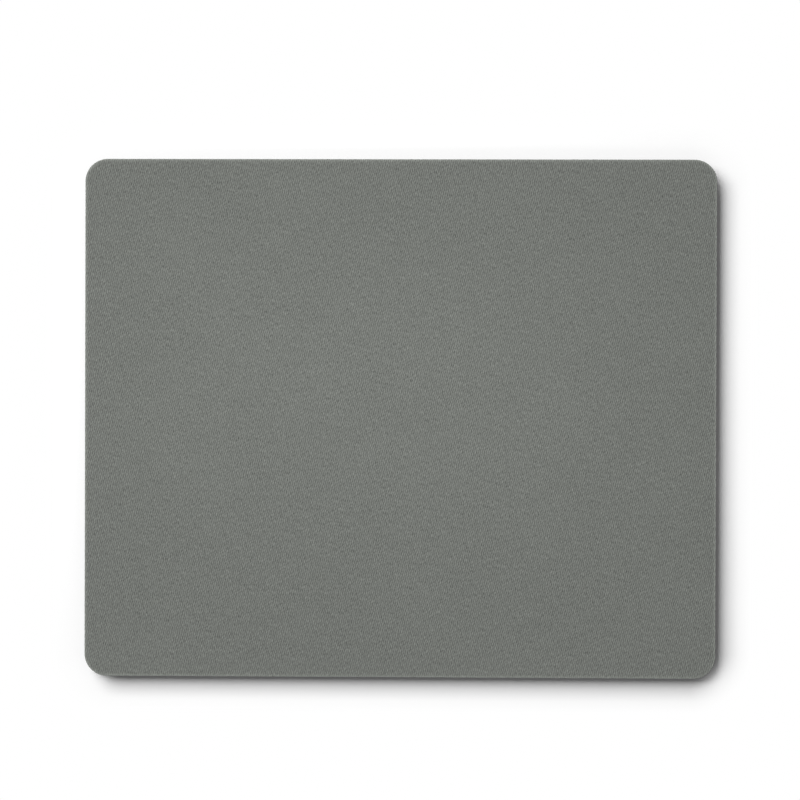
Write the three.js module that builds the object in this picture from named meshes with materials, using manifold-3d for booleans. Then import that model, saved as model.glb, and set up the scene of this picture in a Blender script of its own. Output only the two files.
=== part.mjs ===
// A plain cloth mouse pad: a laminate of five layers that one stroke of a die cuts to its outline.
// Millimetres. The origin is the middle of the underside, +X runs along the long side,
// +Y points away from the user and +Z up through the cloth.

import * as THREE from 'three';
import { mergeVertices } from 'three/addons/utils/BufferGeometryUtils.js';
import Module from 'manifold-3d';

// The outline that all the layers share.
const PAD_WIDTH = 223;
const PAD_DEPTH = 183;
const CORNER_RADIUS = 8;

// The layers, from the desk up. Both bonds are cut from the same hot-melt film.
const GRIP_THICKNESS = 0.75;
const BOND_THICKNESS = 0.125;
const CORE_THICKNESS = 4.25;
const CLOTH_THICKNESS = 0.75;

// The edges that the die leaves: the cloth's rim is pressed round,
// and the foam springs back behind the blade, which leaves its wall dished.
const CLOTH_RIM_RADIUS = 0.5;
const CORE_EDGE_DISH = 0.3;

// The embossed grip: two families of straight V grooves cross and leave diamond lands.
// The angle is the one between a groove and the pad's long side.
const GROOVE_DEPTH = 0.3;
const GROOVE_WIDTH = 1.4;
const GROOVE_PITCH = 8;
const GROOVE_ANGLE = Math.PI / 6;

// How finely the round stretches are stepped.
const CORNER_STEPS = 12;
const RIM_STEPS = 4;
const DISH_STEPS = 6;

const QUARTER_TURN = Math.PI / 2;

const wasm = await Module();
wasm.setup();

// The pad's outline, drawn in from the cut edge by an inset, as points that go round anticlockwise.
// The corner arcs keep their centres, so every inset has the same points in the same order.
function outlinePoints(inset) {
  const centreX = PAD_WIDTH / 2 - CORNER_RADIUS;
  const centreY = PAD_DEPTH / 2 - CORNER_RADIUS;
  const corners = [[centreX, centreY], [-centreX, centreY], [-centreX, -centreY], [centreX, -centreY]];
  const outline = new THREE.Shape();
  corners.forEach(([x, y], quarter) => {
    const start = quarter * QUARTER_TURN;
    outline.absarc(x, y, CORNER_RADIUS - inset, start, start + QUARTER_TURN);
  });
  // A shape steps each arc twice as finely as it is asked to.
  return outline.getPoints(CORNER_STEPS / 2);
}

// A geometry of [x, y, z] vertices and of triangles that list them by number.
function meshGeometry(vertices, triangles) {
  const geometry = new THREE.BufferGeometry();
  geometry.setAttribute('position', new THREE.Float32BufferAttribute(vertices.flat(), 3));
  geometry.setIndex(triangles);
  return geometry;
}

// A closed slab. Its edge follows a profile of [inset, height] pairs from the lower face to the upper.
function slabGeometry(profile) {
  const rings = profile.map(([inset, height]) => (
    outlinePoints(inset).map((point) => [point.x, point.y, height])
  ));
  const ringSize = rings[0].length;
  const lowerCentre = rings.length * ringSize;
  const upperCentre = lowerCentre + 1;
  const topRing = lowerCentre - ringSize;
  const heights = profile.map(([, height]) => height);
  const vertices = [...rings.flat(), [0, 0, heights[0]], [0, 0, heights.at(-1)]];

  const triangles = [];
  for (let here = 0; here < ringSize; here += 1) {
    const next = (here + 1) % ringSize;
    triangles.push(lowerCentre, next, here);
    triangles.push(upperCentre, topRing + here, topRing + next);
    for (let ring = 0; ring < topRing; ring += ringSize) {
      const above = ring + ringSize;
      triangles.push(ring + here, ring + next, above + next);
      triangles.push(ring + here, above + next, above + here);
    }
  }

  return meshGeometry(vertices, triangles);
}

// A closed geometry as a solid that can be cut. Only positions count, so its vertices merge.
function toSolid(geometry) {
  const bare = geometry.clone();
  bare.deleteAttribute('normal');
  bare.deleteAttribute('uv');
  const merged = mergeVertices(bare);
  return new wasm.Manifold(new wasm.Mesh({
    numProp: 3,
    vertProperties: merged.attributes.position.array,
    triVerts: Uint32Array.from(merged.index.array),
  }));
}

function toGeometry(solid) {
  const mesh = solid.getMesh();
  const geometry = new THREE.BufferGeometry();
  geometry.setAttribute('position', new THREE.BufferAttribute(mesh.vertProperties, mesh.numProp));
  geometry.setIndex(new THREE.BufferAttribute(mesh.triVerts, 1));
  return geometry;
}

// A straight-walled layer.
function plainLayer(thickness) {
  return slabGeometry([[0, 0], [0, thickness]]);
}

// The foam, whose wall is deepest in the dish at half its height.
function foamCore() {
  const profile = [];
  for (let step = 0; step <= DISH_STEPS; step += 1) {
    const rise = step / DISH_STEPS;
    profile.push([CORE_EDGE_DISH * 4 * rise * (1 - rise), CORE_THICKNESS * rise]);
  }
  return slabGeometry(profile);
}

// The cloth, with a rim that turns over by a quarter circle, no larger than the cloth is thick.
function clothTop() {
  const radius = Math.min(CLOTH_RIM_RADIUS, CLOTH_THICKNESS);
  const profile = [];
  for (let step = 0; step <= RIM_STEPS; step += 1) {
    const turn = QUARTER_TURN * step / RIM_STEPS;
    const inset = radius * (1 - Math.cos(turn));
    const height = CLOTH_THICKNESS - radius * (1 - Math.sin(turn));
    profile.push([inset, height]);
  }
  if (radius < CLOTH_THICKNESS) {
    profile.unshift([0, 0]);
  }
  return slabGeometry(profile);
}

// The point where a line of one groove family crosses a line of the other.
// Each line is given by how far it lies from the middle of the pad.
function crossing(firstOffset, secondOffset, height) {
  const x = (secondOffset - firstOffset) / (2 * Math.sin(GROOVE_ANGLE));
  const y = (firstOffset + secondOffset) / (2 * Math.cos(GROOVE_ANGLE));
  return [x, y, height];
}

// A rhombus of embossed sheet that is wider than the pad and twice as thick as its skin.
// Grooves lie half a pitch to each side of the middle, so a whole land is centred there.
function embossedSheet() {
  const reach = (PAD_WIDTH * Math.sin(GROOVE_ANGLE) + PAD_DEPTH * Math.cos(GROOVE_ANGLE)) / 2;
  const groovesPerSide = Math.ceil(reach / GROOVE_PITCH + 0.5);
  const grooves = 2 * groovesPerSide;
  const offset = (groove) => (groove + 0.5 - groovesPerSide) * GROOVE_PITCH;

  const vertices = [];
  const triangles = [];
  const addVertex = (point) => vertices.push(point) - 1;
  const addQuad = (a, b, c, d) => triangles.push(a, b, c, a, c, d);

  const valleys = [];
  const tops = [];
  for (let first = 0; first < grooves; first += 1) {
    for (let second = 0; second < grooves; second += 1) {
      valleys.push(addVertex(crossing(offset(first), offset(second), GROOVE_DEPTH)));
      tops.push(addVertex(crossing(offset(first), offset(second), 2 * GRIP_THICKNESS)));
    }
  }

  // Each cell has a land at the lower face, four sloping groove walls and a piece of the upper face.
  const near = GROOVE_WIDTH / 2;
  const far = GROOVE_PITCH - near;
  for (let first = 0; first < grooves - 1; first += 1) {
    for (let second = 0; second < grooves - 1; second += 1) {
      const here = first * grooves + second;
      const corners = [here, here + 1, here + grooves + 1, here + grooves];
      const lands = [[near, near], [near, far], [far, far], [far, near]].map(([a, b]) => (
        addVertex(crossing(offset(first) + a, offset(second) + b, 0))
      ));
      addQuad(...lands.toReversed());
      addQuad(...corners.map((corner) => tops[corner]));
      corners.forEach((corner, side) => {
        const after = (side + 1) % corners.length;
        addQuad(valleys[corner], lands[side], lands[after], valleys[corners[after]]);
      });
    }
  }

  // The sheet's own edge, which the die cuts away.
  const last = grooves - 1;
  for (let step = 0; step < last; step += 1) {
    const sides = [
      [step, step + 1],
      [step * grooves + last, (step + 1) * grooves + last],
      [last * grooves + step + 1, last * grooves + step],
      [(step + 1) * grooves, step * grooves],
    ];
    sides.forEach(([here, next]) => addQuad(valleys[here], valleys[next], tops[next], tops[here]));
  }
  return meshGeometry(vertices, triangles);
}

// The rubber skin, cut from embossed sheet, so its grooves run off the cut edge.
function gripBase() {
  const blank = slabGeometry([[0, -GROOVE_DEPTH], [0, GRIP_THICKNESS]]);
  return toGeometry(toSolid(blank).intersect(toSolid(embossedSheet())));
}

function finish(color, roughness) {
  return new THREE.MeshStandardMaterial({ color, roughness, metalness: 0, flatShading: true });
}

const greyCloth = finish('#757873', 0.95);
const blackFoam = finish('#232424', 0.95);
const blackRubber = finish('#2a2b2b', 0.8);
const clearFilm = finish('#c9c6ba', 0.5);

const mousePad = new THREE.Group();
let level = 0;

// Vertices are 32-bit numbers, so each thickness is rounded to 32 bits before the next layer
// is set on it, and faces that are bonded share exactly one height.
function layOn(name, geometry, thickness, material) {
  const layer = new THREE.Mesh(geometry, material);
  layer.name = name;
  layer.position.z = level;
  mousePad.add(layer);
  level += Math.fround(thickness);
}

layOn('grip_base', gripBase(), GRIP_THICKNESS, blackRubber);
layOn('base_bond', plainLayer(BOND_THICKNESS), BOND_THICKNESS, clearFilm);
layOn('foam_core', foamCore(), CORE_THICKNESS, blackFoam);
layOn('cloth_bond', plainLayer(BOND_THICKNESS), BOND_THICKNESS, clearFilm);
layOn('cloth_top', clothTop(), CLOTH_THICKNESS, greyCloth);

export default mousePad;
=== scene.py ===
# %% [markdown]
# # A cloth mouse pad
# The real pad is a flat sandwich: a knitted cloth, a sheet of foam and a rubber skin, held together by
# two films of hot-melt glue and cut to shape by one stroke of a die. Five plain solids of the right
# size come with the frame. This lesson models a finer piece over each solid, gives each piece its
# finish, and lights the pad softly from the upper left.

# %% Load the frame
import math

import bmesh
import bpy
from mathutils import Matrix, Vector


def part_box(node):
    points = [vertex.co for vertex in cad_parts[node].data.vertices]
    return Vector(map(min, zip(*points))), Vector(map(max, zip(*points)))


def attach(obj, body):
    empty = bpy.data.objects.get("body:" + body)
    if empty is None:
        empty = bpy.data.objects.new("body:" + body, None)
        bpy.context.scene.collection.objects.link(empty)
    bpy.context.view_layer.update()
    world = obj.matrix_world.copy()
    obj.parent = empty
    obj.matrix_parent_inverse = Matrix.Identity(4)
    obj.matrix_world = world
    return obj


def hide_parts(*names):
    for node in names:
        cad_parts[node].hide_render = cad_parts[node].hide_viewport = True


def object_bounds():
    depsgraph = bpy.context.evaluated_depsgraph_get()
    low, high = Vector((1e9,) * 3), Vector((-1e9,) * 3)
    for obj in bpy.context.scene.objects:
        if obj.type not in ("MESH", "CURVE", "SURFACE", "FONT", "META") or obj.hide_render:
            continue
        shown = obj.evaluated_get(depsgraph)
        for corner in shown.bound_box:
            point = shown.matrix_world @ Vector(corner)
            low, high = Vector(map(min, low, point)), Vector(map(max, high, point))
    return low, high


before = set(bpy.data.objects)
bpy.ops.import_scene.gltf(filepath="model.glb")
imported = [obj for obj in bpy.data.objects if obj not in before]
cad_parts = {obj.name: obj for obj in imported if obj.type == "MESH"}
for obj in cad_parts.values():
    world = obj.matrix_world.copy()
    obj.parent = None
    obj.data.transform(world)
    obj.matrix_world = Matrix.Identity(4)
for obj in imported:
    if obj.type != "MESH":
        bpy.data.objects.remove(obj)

MM = 0.001

cad_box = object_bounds()
half_width = cad_box[1].x
half_depth = cad_box[1].y
print("pad size in millimetres:", [round(side / MM, 2) for side in cad_box[1] - cad_box[0]])

# %% [markdown]
# ## Sizes from the frame
# Every layer has the same outline, so the corner radius is measured once: the straight side of a layer
# stops that far short of its corner. The heights come from each layer's own box. These numbers could be
# typed in, but measured ones stay right if the solids change.

# %% Measure the outline and the layers
CLOSE = 0.001 * MM


def corner_radius_of(node):
    """How far the straight far side of a node stops short of the node's corner."""
    points = [vertex.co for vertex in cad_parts[node].data.vertices]
    return half_width - max(point.x for point in points if point.y > half_depth - CLOSE)


def layer_of(node):
    """The heights of a layer's lower and upper face."""
    lowest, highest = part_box(node)
    return lowest.z, highest.z


corner_radius = corner_radius_of("cloth_bond")
print("corner radius in millimetres:", round(corner_radius / MM, 3))
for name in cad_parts:
    print(name, "lies between", [round(height / MM, 3) for height in layer_of(name)])

# %% [markdown]
# ## Selecting in code
# In Blender an operator acts on whatever is selected. By hand, you click on faces and edges. A script has
# no mouse, so `pick` selects points, edges or faces by a test of where they lie. Index numbers would
# work too, but every edit changes them, and a place stays true.

# %% Select by place
MODES = {"verts": "VERT", "edges": "EDGE", "faces": "FACE"}


def pick(piece, kind, wanted):
    """In edit mode, select only the verts, edges or faces that pass a test."""
    bpy.ops.mesh.select_mode(type=MODES[kind])
    bpy.ops.mesh.select_all(action="DESELECT")
    mesh = bmesh.from_edit_mesh(piece.data)
    for element in getattr(mesh, kind):
        if wanted(element):
            element.select_set(True)
    mesh.select_flush_mode()
    bmesh.update_edit_mesh(piece.data)


def is_upright(edge):
    """True for an edge that climbs from one height to another."""
    return abs(edge.verts[0].co.z - edge.verts[1].co.z) > CLOSE


def lies_at(element, height):
    """True for an edge or face with all its points at one height."""
    return all(abs(vert.co.z - height) < CLOSE for vert in element.verts)


print("two heights closer than", round(CLOSE / MM, 4), "mm count as one")

# %% [markdown]
# ## The blank
# One die cuts all the layers, so each layer starts as the same blank. It could be an extruded curve, but
# a cube with its four upright edges bevelled round has the same outline, and it keeps each straight
# side as one face, which is easy to refine.

# %% Cut a blank
CORNER_STEPS = 36


def cut_blank(name, bottom, top):
    """A slab with the pad's outline, left in object mode."""
    bpy.ops.object.select_all(action="DESELECT")
    size = (2 * half_width, 2 * half_depth, top - bottom)
    bpy.ops.mesh.primitive_cube_add(size=1, location=(0, 0, (bottom + top) / 2), scale=size)
    bpy.ops.object.transform_apply(location=True, rotation=True, scale=True)
    blank = bpy.context.object
    blank.name = name
    blank.data.name = name
    bpy.ops.object.mode_set(mode="EDIT")
    pick(blank, "edges", is_upright)
    bpy.ops.mesh.bevel(offset=corner_radius, segments=CORNER_STEPS, affect="EDGES")
    bpy.ops.object.mode_set(mode="OBJECT")
    return blank


print("each corner of a blank is rounded in", CORNER_STEPS, "steps")

# %% [markdown]
# ## The foam slab
# Foam springs back behind the blade, so the cut wall of the core is dished, and it shows torn cells.
# A bump in the finish could fake both, but it would be missing from the outline. The wall is all that
# shows, so only the wall gets a fine mesh: its long edges are subdivided twice, then its upright edges.

# %% Cut the foam and refine its wall
FOAM_SIDE_CUTS = 23
FOAM_RISE_CUTS = 11


def refine_sides(piece, cuts):
    """In edit mode, divide each straight side of a blank, and each part of it once more."""
    for length in (half_depth, half_depth / cuts):
        pick(piece, "edges", lambda edge: not is_upright(edge) and edge.calc_length() > length / 2)
        bpy.ops.mesh.subdivide(number_cuts=cuts)


def tell(piece):
    """Print how large a piece is."""
    sides = [round(side / MM, 3) for side in piece.dimensions]
    triangles = sum(len(face.vertices) - 2 for face in piece.data.polygons)
    print(piece.name, "measures", sides, "mm and has", triangles, "triangles")


foam_bottom, foam_top = layer_of("foam_core")
foam_slab = cut_blank("foam_slab", foam_bottom, foam_top)
bpy.ops.object.mode_set(mode="EDIT")
refine_sides(foam_slab, FOAM_SIDE_CUTS)
pick(foam_slab, "edges", is_upright)
bpy.ops.mesh.subdivide(number_cuts=FOAM_RISE_CUTS)
bpy.ops.object.mode_set(mode="OBJECT")
tell(foam_slab)

# %% [markdown]
# The wall is fine now, but the top and the bottom are still one face each, with over two thousand sides.
# Left to itself, Blender may split such a face into slivers. Cutting it up by hand would take long, so a
# Triangulate modifier does it. `apply_modifier` makes a modifier's result the mesh, as the Apply command
# in the modifier's menu does.

# %% Split the large faces
MANY_SIDES = 5


def apply_modifier(piece, kind, **settings):
    """Add a modifier with these settings and make its result the mesh."""
    bpy.ops.object.select_all(action="DESELECT")
    bpy.context.view_layer.objects.active = piece
    piece.select_set(True)
    modifier = piece.modifiers.new(kind.title(), kind)
    for setting, value in settings.items():
        setattr(modifier, setting, value)
    bpy.ops.object.modifier_apply(modifier=modifier.name)


def split_large_faces(piece):
    """Split each face that has many sides into triangles that are as even as they can be."""
    sides = [len(face.vertices) for face in piece.data.polygons]
    apply_modifier(piece, "TRIANGULATE", ngon_method="BEAUTY", min_vertices=MANY_SIDES)
    print(piece.name, "had a face with", max(sides), "sides")


split_large_faces(foam_slab)

# %% [markdown]
# Two Displace modifiers shape the wall: the first pulls it in, and the second roughens it with a cloud
# texture. Sculpting would do the same by hand, but not twice alike. A vertex group, which holds a weight
# for each point, fades both to nothing where the foam meets the films.

# %% Dish and roughen the foam wall
FOAM_DISH = 0.3 * MM
TEAR_DEPTH = 0.22 * MM
TEAR_SIZE = 0.8 * MM
FOAM_SMOOTH_ANGLE = math.radians(40)


def new_clouds(name, size, finer=1):
    """A cloud texture with lumps of about a size, and some layers of finer lumps on them."""
    clouds = bpy.data.textures.new(name, "CLOUDS")
    clouds.noise_scale = size
    clouds.noise_depth = finer
    return clouds


# The weight is a parabola: zero at both faces of the foam and one halfway up.
wall = foam_slab.vertex_groups.new(name="cut_wall")
for vertex in foam_slab.data.vertices:
    rise = (vertex.co.z - foam_bottom) / (foam_top - foam_bottom)
    wall.add([vertex.index], 4 * rise * (1 - rise), "REPLACE")

torn_cells = new_clouds("torn_cells", TEAR_SIZE, finer=2)
apply_modifier(foam_slab, "DISPLACE", strength=-FOAM_DISH, mid_level=0, vertex_group="cut_wall")
apply_modifier(foam_slab, "DISPLACE", texture=torn_cells, texture_coords="LOCAL",
               strength=-TEAR_DEPTH, mid_level=0, vertex_group="cut_wall")
bpy.ops.object.shade_smooth_by_angle(angle=FOAM_SMOOTH_ANGLE)
tell(foam_slab)

# %% [markdown]
# ## The knitted cloth
# The cloth is a thin sheet bonded flat on the foam. The blade rolls its cut rim over. A cloth simulation
# could lay it down, but a bonded sheet can't slide or fold, so it is cut like the other layers. A bevel
# rolls the rim, and a row of bisect cuts each way gives the face points that can move.

# %% Cut the cloth and roll its rim
CLOTH_SIDE_CUTS = 20
CLOTH_RIM = 0.3 * MM
CLOTH_RIM_STEPS = 6
CLOTH_SQUARE = 4 * MM

cloth_bottom, cloth_top = layer_of("cloth_top")
cloth_face = cut_blank("cloth_face", cloth_bottom, cloth_top)
bpy.ops.object.mode_set(mode="EDIT")
refine_sides(cloth_face, CLOTH_SIDE_CUTS)
pick(cloth_face, "edges", lambda edge: lies_at(edge, cloth_top))
bpy.ops.mesh.bevel(offset=CLOTH_RIM, segments=CLOTH_RIM_STEPS, affect="EDGES")
for axis, half in ((Vector((1, 0, 0)), half_width), (Vector((0, 1, 0)), half_depth)):
    squares = round(2 * half / CLOTH_SQUARE)
    for cut in range(1, squares):
        place = half * (2 * cut / squares - 1)
        bpy.ops.mesh.select_all(action="SELECT")
        bpy.ops.mesh.bisect(plane_co=axis * place, plane_no=axis)
bpy.ops.object.mode_set(mode="OBJECT")
split_large_faces(cloth_face)
tell(cloth_face)

# %% [markdown]
# The face sinks by a few hundredths of a millimetre where the foam is softer, and the cut ends of the
# yarn leave the rim a little uneven. Each gets its own vertex group and cloud texture. A Weighted Normal
# modifier then shades the broad face as level and only the rim as round. The loops of the knit are far
# too fine for geometry: they come with the finish.

# %% Let the cloth settle and fray its rim
CLOTH_SINK = 0.08 * MM
CLOTH_WAVE = 35 * MM
CLOTH_FRAY = 0.08 * MM
YARN_SPACING = 0.7 * MM
CLOTH_SMOOTH_ANGLE = math.radians(60)

face_group = cloth_face.vertex_groups.new(name="face")
rim_group = cloth_face.vertex_groups.new(name="rim")
for vertex in cloth_face.data.vertices:
    if vertex.co.z > cloth_top - CLOSE:
        face_group.add([vertex.index], 1, "REPLACE")
    elif vertex.co.z > cloth_bottom + CLOSE:
        rim_group.add([vertex.index], 1, "REPLACE")

broad_waves = new_clouds("broad_waves", CLOTH_WAVE)
cut_yarn = new_clouds("cut_yarn", YARN_SPACING)
apply_modifier(cloth_face, "DISPLACE", texture=broad_waves, texture_coords="LOCAL", direction="Z",
               strength=-CLOTH_SINK, mid_level=0, vertex_group="face")
apply_modifier(cloth_face, "DISPLACE", texture=cut_yarn, texture_coords="LOCAL",
               strength=-CLOTH_FRAY, mid_level=0, vertex_group="rim")
bpy.ops.object.shade_smooth_by_angle(angle=CLOTH_SMOOTH_ANGLE)
apply_modifier(cloth_face, "WEIGHTED_NORMAL", keep_sharp=True)
tell(cloth_face)

# %% [markdown]
# ## The bond films
# Two films of hot-melt glue hold the sandwich together. All that shows of each is a hairline in the cut
# wall, and it wanders, because warm film draws back from the blade. A painted line would be quicker, but
# a real film keeps its shadow under the cloth. Its wall alone is pulled in by a cloud texture, so
# the two flat faces come off first and are filled in again afterwards.

# %% Cut the two films
FILM_SIDE_CUTS = 14
FILM_DRAW = 0.16 * MM
FILM_WANDER = 2 * MM

film_edge = new_clouds("film_edge", FILM_WANDER)


def cut_film(name, node):
    """A bond film in the place of its solid, with its edge drawn back by an uneven amount."""
    bottom, top = layer_of(node)
    film = cut_blank(name, bottom, top)
    bpy.ops.object.mode_set(mode="EDIT")
    refine_sides(film, FILM_SIDE_CUTS)
    pick(film, "faces", lambda face: lies_at(face, bottom) or lies_at(face, top))
    bpy.ops.mesh.delete(type="ONLY_FACE")
    bpy.ops.object.mode_set(mode="OBJECT")
    apply_modifier(film, "DISPLACE", texture=film_edge, texture_coords="LOCAL",
                   strength=-FILM_DRAW, mid_level=0)
    bpy.ops.object.mode_set(mode="EDIT")
    for height in (bottom, top):
        pick(film, "edges", lambda edge: lies_at(edge, height))
        bpy.ops.mesh.edge_face_add()
    bpy.ops.mesh.select_all(action="SELECT")
    bpy.ops.mesh.normals_make_consistent(inside=False)
    bpy.ops.object.mode_set(mode="OBJECT")
    split_large_faces(film)
    tell(film)
    return film


upper_film = cut_film("upper_film", "cloth_bond")
lower_film = cut_film("lower_film", "base_bond")

# %% [markdown]
# ## The grip skin
# The skin is cut from rubber sheet that a roller has embossed with two families of crossing grooves.
# The grooves could be cut by dozens of Boolean bars, which is slow and often leaves holes. Here
# a grid stands for the sheet: turned by an eighth of a turn and stretched, each of its faces is one
# of the rhombs between the grooves.

# %% Lay out the rhombs
GROOVE_DEPTH = 0.3 * MM
GROOVE_PITCH = 8 * MM
GROOVE_ANGLE = math.radians(30)

grip_bottom, grip_top = layer_of("grip_base")
groove_floor = grip_bottom + GROOVE_DEPTH
rhomb_width = GROOVE_PITCH / math.sin(GROOVE_ANGLE)
rhomb_depth = GROOVE_PITCH / math.cos(GROOVE_ANGLE)

# Enough rhombs to cover the pad's corners, and an odd number, so that a whole one lies in the middle.
rhombs_across = 2 * math.ceil(half_width / rhomb_width + half_depth / rhomb_depth) + 1

# The grid's squares have a diagonal of one, which the scale then stretches to a rhomb.
bpy.ops.object.select_all(action="DESELECT")
bpy.ops.mesh.primitive_grid_add(x_subdivisions=rhombs_across, y_subdivisions=rhombs_across,
                                size=rhombs_across / math.sqrt(2), rotation=(0, 0, math.radians(45)))
bpy.ops.object.transform_apply(location=True, rotation=True, scale=True)
grip_skin = bpy.context.object
grip_skin.name = "grip_skin"
grip_skin.data.name = "grip_skin"
grip_skin.scale = (rhomb_width, rhomb_depth, 1)
grip_skin.location.z = groove_floor
bpy.ops.object.transform_apply(location=True, rotation=True, scale=True)
print("rhombs measure", round(rhomb_width / MM, 2), "by", round(rhomb_depth / MM, 2), "mm")

# %% [markdown]
# Insetting every face by itself makes the lands that touch the desk, and lowering them opens a V groove
# between neighbours. Rubber leaves a mould with soft edges, so one bevel rounds the lands and another
# the floors of the grooves.

# %% Press the grooves
GROOVE_WIDTH = 1.4 * MM
LAND_SOFTENING = 0.14 * MM
FLOOR_SOFTENING = 0.3 * MM
SOFTENING_STEPS = 2


def beyond_the_pad(face):
    """True for a rhomb that the die leaves out altogether."""
    middle = face.calc_center_median()
    return abs(middle.x) > half_width + rhomb_width / 2 or abs(middle.y) > half_depth + rhomb_depth / 2


bpy.ops.object.mode_set(mode="EDIT")
pick(grip_skin, "faces", beyond_the_pad)
bpy.ops.mesh.delete(type="FACE")
bpy.ops.mesh.select_all(action="SELECT")
bpy.ops.mesh.inset(thickness=GROOVE_WIDTH / 2, depth=0, use_individual=True)
bpy.ops.transform.translate(value=(0, 0, -GROOVE_DEPTH))
pick(grip_skin, "edges", lambda edge: lies_at(edge, grip_bottom))
bpy.ops.mesh.bevel(offset=LAND_SOFTENING, segments=SOFTENING_STEPS, affect="EDGES")
pick(grip_skin, "edges", lambda edge: lies_at(edge, groove_floor) and not edge.is_boundary)
bpy.ops.mesh.bevel(offset=FLOOR_SOFTENING, segments=SOFTENING_STEPS, affect="EDGES")
bpy.ops.object.mode_set(mode="OBJECT")
tell(grip_skin)

# %% [markdown]
# So far the sheet is a surface. Its border is extruded upwards and filled, which makes it a block. The
# outline could be cut side by side with bisect, but not the round corners. So a Boolean keeps what the
# block shares with a blank, as the die would. Blank and block each reach past the other, because faces
# that lie in one plane are hard for a Boolean.

# %% Cut the skin to the outline
GRIP_SMOOTH_ANGLE = math.radians(35)

bpy.ops.object.mode_set(mode="EDIT")
pick(grip_skin, "edges", lambda edge: edge.is_boundary)
bpy.ops.mesh.extrude_region_move(TRANSFORM_OT_translate={"value": (0, 0, 2 * grip_top)})
bpy.ops.mesh.edge_face_add()
bpy.ops.mesh.select_all(action="SELECT")
bpy.ops.mesh.normals_make_consistent(inside=False)
bpy.ops.object.mode_set(mode="OBJECT")

die = cut_blank("die", grip_bottom - GROOVE_DEPTH, grip_top)
apply_modifier(grip_skin, "BOOLEAN", object=die, operation="INTERSECT", solver="EXACT")
bpy.data.objects.remove(die)
split_large_faces(grip_skin)
bpy.ops.object.shade_smooth_by_angle(angle=GRIP_SMOOTH_ANGLE)
apply_modifier(grip_skin, "WEIGHTED_NORMAL", keep_sharp=True)
tell(grip_skin)

# %% [markdown]
# ## Bodies and nodes
# Nothing on the pad moves, so every piece rides on the one body, root, and stands for one solid of the
# frame. The cloth is declared as a sheet with the size that the die cuts, and the foam as a padded piece
# that is full to its skin.

for piece, node, slot in (
    (grip_skin, "grip_base", "black_rubber"),
    (lower_film, "base_bond", "bond_film"),
    (foam_slab, "foam_core", "black_foam"),
    (upper_film, "cloth_bond", "bond_film"),
    (cloth_face, "cloth_top", "grey_cloth"),
):
    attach(piece, "root")
    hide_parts(node)

# %% [markdown]
# ## The camera
# The photograph looks straight down from about a metre, a touch from the right and from the far side.
# A long lens keeps the sides parallel. A Track To constraint could aim the camera, but it can't roll it,
# so three directions are worked out instead and put into the camera's matrix. The place was chosen so
# that the four corners fall where they do in the photograph.

# %% Camera
CAMERA_PLACE = Vector((19.4, 14.3, 947.5)) * MM
CAMERA_AIM = Vector((0, 6.54, 5.5)) * MM
CAMERA_ROLL = math.radians(-0.18)
CAMERA_LENS = 120.1

camera_data = bpy.data.cameras.new("camera")
camera_data.lens = CAMERA_LENS
camera = bpy.data.objects.new("camera", camera_data)
bpy.context.scene.collection.objects.link(camera)
backward = (CAMERA_PLACE - CAMERA_AIM).normalized()
rightward = Vector((math.sin(CAMERA_ROLL), math.cos(CAMERA_ROLL), 0)).cross(backward).normalized()
upward = backward.cross(rightward)
turn = Matrix((rightward, upward, backward)).transposed()
camera.matrix_world = Matrix.Translation(CAMERA_PLACE) @ turn.to_4x4()
bpy.context.scene.camera = camera
print("camera height in metres:", round(camera.matrix_world.translation.z, 3))

# %% [markdown]
# ## The lamps
# The shadow falls to the right and towards the viewer. It is dark at the pad's foot and soft at its end,
# so the light is a big soft panel on the upper left. A sun lamp would have the direction, but its shadow
# is equally sharp everywhere. A small strip hangs low over the middle, where the cloth is a shade
# brighter. With the world's fill, the lamps light the cloth at full level, at which a colour renders
# about as it is written.

# %% Lamps
# Places and sizes are in metres.
PANEL_CENTRE = (-2.97, 2.99, 3.5)
PANEL_SIZE = (4.54, 4.59)
PANEL_WATTS = 465
STRIP_CENTRE = (-0.0104, 0.0156, 0.0923)
STRIP_SIZE = (0.175, 0.04)
STRIP_WATTS = 0.0166


def hang_lamp(name, centre, size, watts):
    """A level rectangular lamp that faces down and that the camera doesn't see."""
    data = bpy.data.lights.new(name, "AREA")
    data.shape = "RECTANGLE"
    data.size, data.size_y = size
    data.energy = watts
    lamp = bpy.data.objects.new(name, data)
    lamp.location = centre
    lamp.visible_camera = False
    bpy.context.scene.collection.objects.link(lamp)
    print(name, "gives", watts, "watts from", centre[2], "metres up")


hang_lamp("panel", PANEL_CENTRE, PANEL_SIZE, PANEL_WATTS)
hang_lamp("strip", STRIP_CENTRE, STRIP_SIZE, STRIP_WATTS)

# %% [markdown]
# ## Shader tools
# A material is a tree of nodes. By hand, you add nodes from a menu and drag links between them. These
# helpers do the same in one line each, so that a finish reads as a short recipe.

# %% Nodes and links
def feed(tree, socket, value):
    """Link a socket into another, or set it to a plain value."""
    if isinstance(value, bpy.types.NodeSocket):
        tree.links.new(value, socket)
    else:
        socket.default_value = value


def add(tree, kind, inputs=None, **settings):
    """A new node with its settings made and its inputs fed."""
    made = tree.nodes.new("ShaderNode" + kind)
    for setting, value in settings.items():
        setattr(made, setting, value)
    for socket, value in (inputs or {}).items():
        feed(tree, made.inputs[socket], value)
    return made


def calc(tree, operation, *values):
    """The result of one Math node."""
    return add(tree, "Math", dict(enumerate(values)), operation=operation).outputs[0]


def vector_calc(tree, operation, *values):
    """The result of one Vector Math node."""
    made = add(tree, "VectorMath", dict(enumerate(values)), operation=operation)
    return made.outputs["Value" if operation == "LENGTH" else "Vector"]


print("node helpers: feed, add, calc, vector_calc")

# %% [markdown]
# Most of a finish is arithmetic on values that change over the surface. These helpers give the few sums
# that come up again and again a plain name. A chain of bare Math nodes would do the same, but nobody
# could read it.

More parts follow.
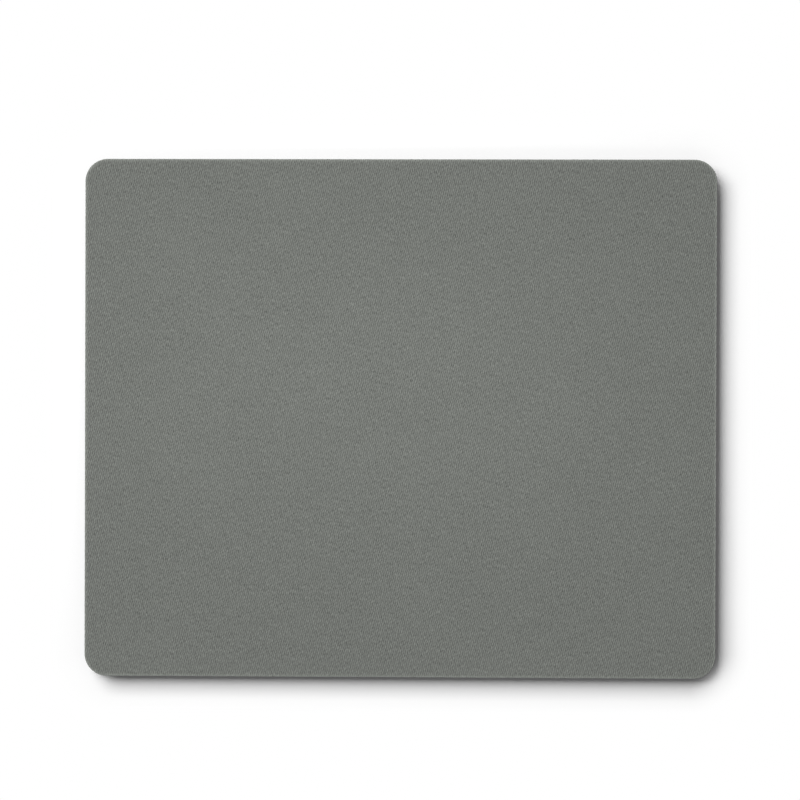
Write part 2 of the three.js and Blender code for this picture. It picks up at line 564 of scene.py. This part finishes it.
# %% Values that change over a surface
def remap(tree, value, low, high, to_low, to_high):
    """Map one span of values smoothly onto another."""
    spans = {"From Min": low, "From Max": high, "To Min": to_low, "To Max": to_high}
    return add(tree, "MapRange", {"Value": value} | spans, interpolation_type="SMOOTHSTEP").outputs[0]


def vary(tree, shade, mask, amount):
    """A shade moved up and down by a mask whose middle is one half."""
    return calc(tree, "MULTIPLY_ADD", calc(tree, "SUBTRACT", mask, 0.5), amount, shade)


# A Mix node has a pair of inputs for each kind of value: 2 and 3 take plain values, 6 and 7 colours.
def crossfade(tree, factor, first, second):
    """The first value where the factor is zero, the second where it is one."""
    return add(tree, "Mix", {0: factor, 2: first, 3: second}, data_type="FLOAT").outputs[0]


def noise(tree, place, scale, detail=2.0):
    """Soft noise around one half."""
    return add(tree, "TexNoise", {"Vector": place, "Scale": scale, "Detail": detail}).outputs[0]


def tint(tree, colour, shade):
    """A colour made lighter or darker by a shade that changes over the surface."""
    mixed = add(tree, "Mix", {0: 1.0, 6: colour, 7: shade}, data_type="RGBA", blend_type="MULTIPLY")
    return mixed.outputs[2]


print("value helpers: remap, vary, crossfade, noise, tint")

# %% [markdown]
# An effect that serves several finishes is made once, as a node group with its own sockets, and placed in
# each. The nodes could be copied into every finish instead, but then a change would have to be made in
# all the copies.

# %% Groups
def new_group(name, inputs, outputs):
    """An empty node group with named sockets: its tree, its inputs and its outputs."""
    group = bpy.data.node_groups.new(name, "ShaderNodeTree")
    for label, kind in inputs:
        group.interface.new_socket(label, in_out="INPUT", socket_type="NodeSocket" + kind)
    for label, kind in outputs:
        group.interface.new_socket(label, in_out="OUTPUT", socket_type="NodeSocket" + kind)
    entry = group.nodes.new("NodeGroupInput")
    result = group.nodes.new("NodeGroupOutput")
    return group, entry.outputs, result.inputs


def place_group(tree, group, inputs):
    """A group set in a material, with its own values. Returns its outputs."""
    return add(tree, "Group", inputs, node_tree=group).outputs


print("group helpers: new_group, place_group")

# %% [markdown]
# Every finish starts from the same few nodes: a Principled shader and the place of each point on the
# surface. A finish could read any coordinates, but places in millimetres let every number in it be
# checked with a ruler.

# %% Materials
def in_millimetres(tree):
    """The place of a point on the surface, in millimetres."""
    metres = add(tree, "TexCoord").outputs["Object"]
    return vector_calc(tree, "MULTIPLY", metres, (1 / MM, 1 / MM, 1 / MM))


def new_material(name):
    """A material with a Principled shader, and the surface's place in millimetres."""
    material = bpy.data.materials.new(name)
    material.use_nodes = True
    tree = material.node_tree
    return material, tree, tree.nodes["Principled BSDF"], in_millimetres(tree)


def dress(piece, material):
    """Give a piece its finish."""
    piece.data.materials.append(material)
    print(piece.name, "wears", material.name, "with", len(material.node_tree.nodes), "nodes")


print("material helpers: in_millimetres, new_material, dress")

# %% [markdown]
# ## The floor
# The pad lies on white paper. Close to the pad the camera sees paper in the light of the lamps, so that
# it keeps the shadow, and further off it sees plain white. A brighter lamp would whiten the paper too,
# but it would bleach the pad with it. In the photograph the shadow is as wide past the corner as it is
# along the sides, and a panel's shadow would be wider there, so the paper goes white sooner
# past a corner: the product of the two sides of a direction is largest on the diagonal.

# %% Find where the paper goes white
# The floor is in metres, and the distances from the pad are in millimetres.
FLOOR_SIZE = 30
SHADOW_CORE = 6.7
SHADOW_END = 13.4
CORNER_FADE = 7.1
CORNER_PAINTED_LIGHT = 0.64

bpy.ops.object.select_all(action="DESELECT")
bpy.ops.mesh.primitive_plane_add(size=FLOOR_SIZE)
floor = bpy.context.object
floor.name = "studio_floor"
paper, tree, shader, place = new_material("paper")
arc_centre = Vector((half_width - corner_radius, half_depth - corner_radius, 0)) / MM
past_arc = vector_calc(tree, "SUBTRACT", vector_calc(tree, "ABSOLUTE", place), arc_centre)
outward = vector_calc(tree, "MAXIMUM", past_arc, (0, 0, 0))
off_pad = calc(tree, "SUBTRACT", vector_calc(tree, "LENGTH", outward), corner_radius / MM)
far_off = remap(tree, off_pad, SHADOW_CORE, SHADOW_END, 0.0, 1.0)
heading = add(tree, "SeparateXYZ", {0: vector_calc(tree, "NORMALIZE", outward)}).outputs

# Past a corner the white is painted light over the lamps' shadow. On the diagonal the product is one half,
# so this painted light is doubled.
diagonal = calc(tree, "MULTIPLY", heading[0], heading[1])
painted_corner_light = remap(tree, off_pad, 0.0, CORNER_FADE, 0.0, 2 * CORNER_PAINTED_LIGHT)
whitened = crossfade(tree, calc(tree, "MULTIPLY", diagonal, painted_corner_light), far_off, 1.0)
print("the paper is white from", SHADOW_END, "mm off the pad")

# %% [markdown]
# What the paper throws back on the pad is the light of ordinary paper everywhere. A Light Path node
# tells the rays that see the paper from those that only bring its light to the pad. The colour that is
# seen is a little above one, because the lamps light the paper a little below full level.

# %% Floor
PAPER_WHITE = (0.8, 0.8, 0.8, 1)
PAPER_SEEN = (1.053, 1.053, 1.053, 1)
PURE_WHITE = (1, 1, 1, 1)


def seen_directly(tree):
    """One for rays from the camera, straight or by way of a shiny or clear surface."""
    path = add(tree, "LightPath").outputs
    shiny = calc(tree, "MAXIMUM", path["Is Glossy Ray"], path["Is Transmission Ray"])
    return calc(tree, "MAXIMUM", path["Is Camera Ray"], shiny)


tree.nodes.remove(shader)
shaded = add(tree, "BsdfDiffuse", {"Color": PAPER_SEEN}).outputs[0]
pure = add(tree, "Emission", {"Color": PURE_WHITE, "Strength": 1.0}).outputs[0]
seen = add(tree, "MixShader", {0: whitened, 1: shaded, 2: pure}).outputs[0]
thrown_back = add(tree, "BsdfDiffuse", {"Color": PAPER_WHITE}).outputs[0]
both = add(tree, "MixShader", {0: seen_directly(tree), 1: thrown_back, 2: seen}).outputs[0]
tree.links.new(both, tree.nodes["Material Output"].inputs["Surface"])
dress(floor, paper)

# %% [markdown]
# ## The world
# The room gives a faint even fill, which keeps the cut wall from going black on the dark side. Where
# the camera sees the world past the edge of the paper, it is white as well. Blender's usual view softens
# bright colours, and the Standard view shows them as they are.

# %% World
FILL_STRENGTH = 0.1635

world = bpy.data.worlds.new("studio")
world.use_nodes = True
bpy.context.scene.world = world
sky = world.node_tree
fill = sky.nodes["Background"]
fill.inputs["Color"].default_value = PURE_WHITE
fill.inputs["Strength"].default_value = FILL_STRENGTH
white = add(sky, "Background", {"Color": PURE_WHITE, "Strength": 1.0})
sky_mix = add(sky, "MixShader", {0: seen_directly(sky), 1: fill.outputs[0], 2: white.outputs[0]})
sky.links.new(sky_mix.outputs[0], sky.nodes["World Output"].inputs["Surface"])
bpy.context.scene.view_settings.view_transform = "Standard"
print("fill strength:", FILL_STRENGTH)

# %% [markdown]
# ## Shared effects
# Three effects serve more than one finish, so each is a node group with its own sockets. The first is the
# distance from the cut edge, which tells where the cloth's rim gets its painted highlight and where the
# rubber is worn. It is worked out from the outline: a rounded rectangle is a smaller rectangle grown by
# the corner radius. A painted mask would need a picture, and this needs none.

# %% Group for the cut edge
edge_group, edge_in, edge_out = new_group("cut edge", [("Position", "Vector")], [("Distance", "Float")])
level = vector_calc(edge_group, "MULTIPLY", edge_in["Position"], (1, 1, 0))
quarter = vector_calc(edge_group, "ABSOLUTE", level)
beyond = vector_calc(edge_group, "SUBTRACT", quarter, arc_centre)
outer = vector_calc(edge_group, "LENGTH", vector_calc(edge_group, "MAXIMUM", beyond, (0, 0, 0)))
sides = add(edge_group, "SeparateXYZ", {0: beyond}).outputs
inner = calc(edge_group, "MINIMUM", calc(edge_group, "MAXIMUM", sides[0], sides[1]), 0.0)
reach = calc(edge_group, "ADD", outer, inner)
feed(edge_group, edge_out["Distance"], calc(edge_group, "SUBTRACT", corner_radius / MM, reach))
print("cut edge group:", len(edge_group.nodes), "nodes")

# %% [markdown]
# The second effect is grain: one noise for broad clouds and one for fine speckle. The third is dust, which
# lies in single motes and in a thin drift. A Voronoi texture scatters the motes, and a noise spreads
# the drift. Particles could be strewn over the pieces instead, but so fine a dust shows only as a tint.

# %% Groups for grain and dust
FINE_TIMES = 4.0
GRAIN_DETAIL = 3.0
MOTES_PER_MM = 0.45
MOTE_CORE = 0.03
MOTE_RIM = 0.07
DRIFTS_PER_MM = 0.03
DRIFT_DETAIL = 4.0
DRIFT_LOW = 0.35
DRIFT_HIGH = 0.75
DRIFT_MOST = 0.5

grain_group, grain_in, grain_out = new_group(
    "grain", [("Position", "Vector"), ("Size", "Float")], [("Coarse", "Float"), ("Fine", "Float")])
for label, times in (("Coarse", 1.0), ("Fine", FINE_TIMES)):
    scale = calc(grain_group, "DIVIDE", times, grain_in["Size"])
    feed(grain_group, grain_out[label], noise(grain_group, grain_in["Position"], scale, GRAIN_DETAIL))

dust_group, dust_in, dust_out = new_group(
    "dust", [("Position", "Vector"), ("Amount", "Float")], [("Mask", "Float")])
motes = add(dust_group, "TexVoronoi", {"Vector": dust_in["Position"], "Scale": MOTES_PER_MM})
speck = remap(dust_group, motes.outputs["Distance"], MOTE_CORE, MOTE_RIM, 1.0, 0.0)
clouds = noise(dust_group, dust_in["Position"], DRIFTS_PER_MM, DRIFT_DETAIL)
drift = remap(dust_group, clouds, DRIFT_LOW, DRIFT_HIGH, 0.0, DRIFT_MOST)
dusty = calc(dust_group, "MAXIMUM", speck, drift)
feed(dust_group, dust_out["Mask"], calc(dust_group, "MULTIPLY", dust_in["Amount"], dusty))
print("grain group:", len(grain_group.nodes), "nodes, dust group:", len(dust_group.nodes), "nodes")

# %% [markdown]
# ## The knit
# Seen close, the cloth is columns of plump stitches that lean a little. Modelled loops would take millions
# of faces, so a group works the stitches out from the place of each point. First it finds which column
# the point is in, and which stitch of that column. Every second column is shifted by half a stitch,
# chance moves each a little further, and a slow wobble keeps the columns from running dead straight.

# %% Find the column and the stitch
COLUMN_WANDER = 0.55
WANDERS_PER_MM = 0.4
WANDER_DETAIL = 1.0
HALF_STITCH = 0.5
STITCH_CHANCE = 0.3

knit_group, knit_in, knit_out = new_group(
    "knit",
    [("Position", "Vector"), ("Column Pitch", "Float"), ("Stitch Length", "Float"), ("Lean", "Float")],
    [("Height", "Float"), ("Tone", "Float"), ("Fibre", "Float")])
leaned = add(knit_group, "VectorRotate", {"Vector": knit_in["Position"], "Angle": knit_in["Lean"]},
             rotation_type="Z_AXIS").outputs[0]
leaned_place = add(knit_group, "SeparateXYZ", {0: leaned}).outputs
wobble = noise(knit_group, knit_in["Position"], WANDERS_PER_MM, WANDER_DETAIL)
across = calc(knit_group, "MULTIPLY_ADD", wobble, COLUMN_WANDER, leaned_place[0])
column_place = calc(knit_group, "DIVIDE", across, knit_in["Column Pitch"])
column = calc(knit_group, "FLOOR", column_place)
chance = add(knit_group, "TexWhiteNoise", {"W": column}, noise_dimensions="1D").outputs["Value"]
stagger = calc(knit_group, "MULTIPLY", column, HALF_STITCH)
stagger = calc(knit_group, "MULTIPLY_ADD", chance, STITCH_CHANCE, stagger)
along = calc(knit_group, "DIVIDE", leaned_place[1], knit_in["Stitch Length"])
stitch_place = calc(knit_group, "ADD", along, stagger)
stitch = calc(knit_group, "FLOOR", stitch_place)
print("knit group so far:", len(knit_group.nodes), "nodes")

# %% [markdown]
# Each stitch is highest in its middle and dips at its ends. The group gives that height, a random tone
# for the stitch, and the streaks of the fibres, which run along the yarn: the noise is squeezed across
# it and stretched along it.

# %% Shape the stitch and streak the yarn
END_DIP = 0.5
END_BLUNTNESS = 3.0
YARN_ROUNDNESS = 2.0
FIBRE_SCALE = (3.0, 0.9, 1.0)


def bulge(tree, place, power):
    """Zero at the ends of each unit step and one in its middle."""
    doubled = calc(tree, "MULTIPLY", calc(tree, "FRACT", place), 2.0)
    off_middle = calc(tree, "ABSOLUTE", calc(tree, "SUBTRACT", doubled, 1.0))
    return calc(tree, "SUBTRACT", 1.0, calc(tree, "POWER", off_middle, power))


lengthwise = bulge(knit_group, stitch_place, END_BLUNTNESS)
ends = calc(knit_group, "MULTIPLY_ADD", lengthwise, END_DIP, 1 - END_DIP)
plump = calc(knit_group, "MULTIPLY", bulge(knit_group, column_place, YARN_ROUNDNESS), ends)
feed(knit_group, knit_out["Height"], calc(knit_group, "SQRT", plump))
address = add(knit_group, "CombineXYZ", {0: column, 1: stitch}).outputs[0]
tone = add(knit_group, "TexWhiteNoise", {"Vector": address}).outputs["Value"]
feed(knit_group, knit_out["Tone"], tone)
streaks = vector_calc(knit_group, "MULTIPLY", leaned, FIBRE_SCALE)
feed(knit_group, knit_out["Fibre"], noise(knit_group, streaks, 1.0))
print("knit group:", len(knit_group.nodes), "nodes")

# %% [markdown]
# ## Grey cloth
# The cloth is a matt mid grey with a trace of green. One flat grey would look like card, so the height of
# the stitches paints shade into the gaps between them, the fibres streak it, and each stitch is a shade
# off its neighbours. Along the cut the cloth is painted paler, a painted highlight where the rim catches
# the light.

# %% Shade the face of the cloth
CLOTH_GREY = (0.1786, 0.1877, 0.1729, 1)
COLUMN_PITCH = 0.70
STITCH_LENGTH = 1.3
KNIT_LEAN = math.radians(14)
PAINTED_GAP_SHADE = 0.425
PAINTED_CROWN_RISE = 0.735
FIBRE_STREAK = 1.4
TONE_SPREAD = 0.1
MOTTLE_SPREAD = 0.08
MOTTLES_PER_MM = 0.25
MOTTLE_DETAIL = 3.0
RIM_HIGHLIGHT_WIDTH = 1.7
RIM_HIGHLIGHT_FALL = 2.0
RIM_PAINTED_HIGHLIGHT = 0.45
CLOTH_DUST = 0.06

cloth_finish, tree, shader, place = new_material("cloth_finish")
knit = place_group(tree, knit_group, {"Position": place, "Column Pitch": COLUMN_PITCH,
                                      "Stitch Length": STITCH_LENGTH, "Lean": KNIT_LEAN})
edge = place_group(tree, edge_group, {"Position": place})["Distance"]
dust = place_group(tree, dust_group, {"Position": place, "Amount": CLOTH_DUST})["Mask"]
# The stitch height paints shade into the gaps between stitches: darkest in the gaps, palest on the crowns.
shade = calc(tree, "MULTIPLY_ADD", knit["Height"], PAINTED_CROWN_RISE, PAINTED_GAP_SHADE)
shade = vary(tree, shade, knit["Fibre"], FIBRE_STREAK)
shade = vary(tree, shade, knit["Tone"], TONE_SPREAD)
shade = vary(tree, shade, noise(tree, place, MOTTLES_PER_MM, MOTTLE_DETAIL), MOTTLE_SPREAD)
# A painted highlight makes the cloth paler along its cut rim, fading inwards.
painted_rim_highlight = calc(tree, "POWER", remap(tree, edge, 0.0, RIM_HIGHLIGHT_WIDTH, 1.0, 0.0), RIM_HIGHLIGHT_FALL)
face_shade = calc(tree, "MULTIPLY_ADD", painted_rim_highlight, RIM_PAINTED_HIGHLIGHT, calc(tree, "ADD", shade, dust))
print("cloth grey:", CLOTH_GREY[:3])

# %% [markdown]
# On the cut side there are no stitches to see, only the ends of the yarn. A Voronoi texture gives one
# round end for each cell, pale in its middle with shade painted between the ends, and the height of the
# point decides which of the two patterns it gets. The same heights go to a Bump node, which shades the
# surface as if it rose and fell.

# %% Shade the cut side and finish the cloth
YARN_ENDS_PER_MM = 4.0
END_SHADE = 1.75
PAINTED_SHADE_BETWEEN_ENDS = -0.9
STITCH_RELIEF = 0.12 * MM
STITCH_STRENGTH = 0.6
CLOTH_ROUGHNESS = 0.9
CLOTH_SHINE = 0.2
CLOTH_SHEEN = 0.05
SHEEN_ROUGHNESS = 0.5

height = add(tree, "SeparateXYZ", {0: place}).outputs[2]
side_top = (cloth_top - CLOTH_RIM) / MM
face_low = (cloth_top - CLOTH_SINK) / MM
on_side = remap(tree, height, side_top, face_low, 1.0, 0.0)
yarn_ends = add(tree, "TexVoronoi", {"Vector": place, "Scale": YARN_ENDS_PER_MM}).outputs["Distance"]
# Each yarn end is pale in its middle, with shade painted between the ends.
side_shade = calc(tree, "MULTIPLY_ADD", yarn_ends, PAINTED_SHADE_BETWEEN_ENDS, END_SHADE)
shade = crossfade(tree, on_side, face_shade, side_shade)
relief = crossfade(tree, on_side, knit["Height"], calc(tree, "SUBTRACT", 1.0, yarn_ends))
tree.links.new(tint(tree, CLOTH_GREY, shade), shader.inputs["Base Color"])
bump = add(tree, "Bump", {"Height": relief, "Distance": STITCH_RELIEF, "Strength": STITCH_STRENGTH})
tree.links.new(bump.outputs[0], shader.inputs["Normal"])
shader.inputs["Roughness"].default_value = CLOTH_ROUGHNESS
shader.inputs["Specular IOR Level"].default_value = CLOTH_SHINE
shader.inputs["Sheen Weight"].default_value = CLOTH_SHEEN
shader.inputs["Sheen Roughness"].default_value = SHEEN_ROUGHNESS
dress(cloth_face, cloth_finish)

# %% [markdown]
# ## Black foam
# The blade cuts through the bubbles of the foam, so its wall is a mass of tiny round pits, and here and
# there a larger pore. The displaced mesh already has the lumps, and the pits are finer than that. A
# Voronoi texture scatters points through space, and the distance to the nearest one draws a round pit
# about it. One such texture makes the small cells and another the pores.

# %% Find the pits of the foam
CELL_SPACING = 0.24
CELL_BOTTOM = 0.12
CELL_RIM = 0.62
CELL_DEPTH = 0.6
PORE_SPACING = 0.8
PORE_BOTTOM = 0.22
PORE_RIM = 0.36


def round_pits(tree, place, spacing, bottom, rim):
    """One on the bottom of a pit and zero past its rim. Both radii are shares of the spacing."""
    from_middle = add(tree, "TexVoronoi", {"Vector": place, "Scale": 1 / spacing}).outputs["Distance"]
    return remap(tree, from_middle, bottom, rim, 1.0, 0.0)


foam_finish, tree, shader, place = new_material("foam_finish")
cells = round_pits(tree, place, CELL_SPACING, CELL_BOTTOM, CELL_RIM)
pores = round_pits(tree, place, PORE_SPACING, PORE_BOTTOM, PORE_RIM)
pitted = calc(tree, "MAXIMUM", calc(tree, "MULTIPLY", cells, CELL_DEPTH), pores)
print("foam cells are about", CELL_SPACING, "mm apart")

# %% [markdown]
# The bottom of a pit is darker than its rim, because less light gets in. A Bump node takes the same pits
# as a height, so that each has a lit side and a dark side, and dust keeps the black from being even.
# `roughen` lets the gloss follow a noise too. One roughness all over would do, but it looks like plastic.

# %% Black foam
FOAM_BLACK = (0.02, 0.0205, 0.021, 1)
RIM_SHADE = 1.05
PIT_SHADE = -0.75
PIT_RELIEF = 0.12 * MM
PIT_STRENGTH = 0.7
FOAM_GRAIN = 0.6
FOAM_SPECKLE = 0.6
FOAM_DUST = 0.5
FOAM_ROUGHNESS = (0.8, 0.95)
FOAM_SHINE = 0.25
NOISE_LOW = 0.3
NOISE_HIGH = 0.7


def roughen(tree, shader, mask, span):
    """Let the roughness follow a noise, with the least in its low places and the most in its high ones."""
    least, most = span
    spread = remap(tree, mask, NOISE_LOW, NOISE_HIGH, least, most)
    tree.links.new(spread, shader.inputs["Roughness"])


grain = place_group(tree, grain_group, {"Position": place, "Size": FOAM_GRAIN})
dust = place_group(tree, dust_group, {"Position": place, "Amount": FOAM_DUST})["Mask"]
shade = calc(tree, "MULTIPLY_ADD", pitted, PIT_SHADE, RIM_SHADE)
shade = calc(tree, "MULTIPLY_ADD", grain["Fine"], FOAM_SPECKLE, calc(tree, "ADD", shade, dust))
tree.links.new(tint(tree, FOAM_BLACK, shade), shader.inputs["Base Color"])
solid = calc(tree, "SUBTRACT", 1.0, pitted)
bump = add(tree, "Bump", {"Height": solid, "Distance": PIT_RELIEF, "Strength": PIT_STRENGTH})
tree.links.new(bump.outputs[0], shader.inputs["Normal"])
roughen(tree, shader, grain["Coarse"], FOAM_ROUGHNESS)
shader.inputs["Specular IOR Level"].default_value = FOAM_SHINE
dress(foam_slab, foam_finish)

# %% [markdown]
# ## Black rubber
# The skin is dull black rubber with the fine grain of its mould. The lands are rubbed paler by the desk,
# and the rim is paler where it was cut. Height and the distance from the cut edge say where that is, so
# no mask has to be painted, and dust settles over all of it.

# %% Black rubber
RUBBER_BLACK = (0.024, 0.0245, 0.025, 1)
RUBBER_SHADE = 0.65
RUBBER_CLOUDS = 0.5
RUBBER_GRAIN = 0.8
RUBBER_DUST = 0.6
LAND_RUBBED = 0.35
LAND_RISE = 0.08
RIM_WORN = 0.3
RIM_WIDTH = 1.5
MOULD_RELIEF = 0.08 * MM
MOULD_STRENGTH = 0.7
RUBBER_ROUGHNESS = (0.55, 0.75)
RUBBER_SHINE = 0.4

rubber_finish, tree, shader, place = new_material("rubber_finish")
grain = place_group(tree, grain_group, {"Position": place, "Size": RUBBER_GRAIN})
dust = place_group(tree, dust_group, {"Position": place, "Amount": RUBBER_DUST})["Mask"]
edge = place_group(tree, edge_group, {"Position": place})["Distance"]
height = add(tree, "SeparateXYZ", {0: place}).outputs[2]
rubbed = remap(tree, height, 0.0, LAND_RISE, LAND_RUBBED, 0.0)
worn = remap(tree, edge, 0.0, RIM_WIDTH, RIM_WORN, 0.0)
shade = calc(tree, "MULTIPLY_ADD", grain["Coarse"], RUBBER_CLOUDS, calc(tree, "ADD", RUBBER_SHADE, dust))
shade = calc(tree, "ADD", shade, calc(tree, "ADD", rubbed, worn))
tree.links.new(tint(tree, RUBBER_BLACK, shade), shader.inputs["Base Color"])
bump = add(tree, "Bump", {"Height": grain["Fine"], "Distance": MOULD_RELIEF, "Strength": MOULD_STRENGTH})
tree.links.new(bump.outputs[0], shader.inputs["Normal"])
roughen(tree, shader, grain["Coarse"], RUBBER_ROUGHNESS)
shader.inputs["Specular IOR Level"].default_value = RUBBER_SHINE
dress(grip_skin, rubber_finish)

# %% [markdown]
# ## Bond film
# The glue is milky and a little shiny. So thin a line needs little: broad grain clouds its colour, and
# fine grain breaks up its gloss, because a cut edge is never polished.

# %% Bond film
FILM_MILK = (0.58, 0.56, 0.49, 1)
FILM_GRAIN = 4.0
FILM_CLOUDS = 0.5
FILM_ROUGHNESS = (0.3, 0.55)

film_finish, tree, shader, place = new_material("film_finish")
grain = place_group(tree, grain_group, {"Position": place, "Size": FILM_GRAIN})
shade = vary(tree, 1.0, grain["Coarse"], FILM_CLOUDS)
tree.links.new(tint(tree, FILM_MILK, shade), shader.inputs["Base Color"])
roughen(tree, shader, grain["Fine"], FILM_ROUGHNESS)
dress(upper_film, film_finish)
dress(lower_film, film_finish)
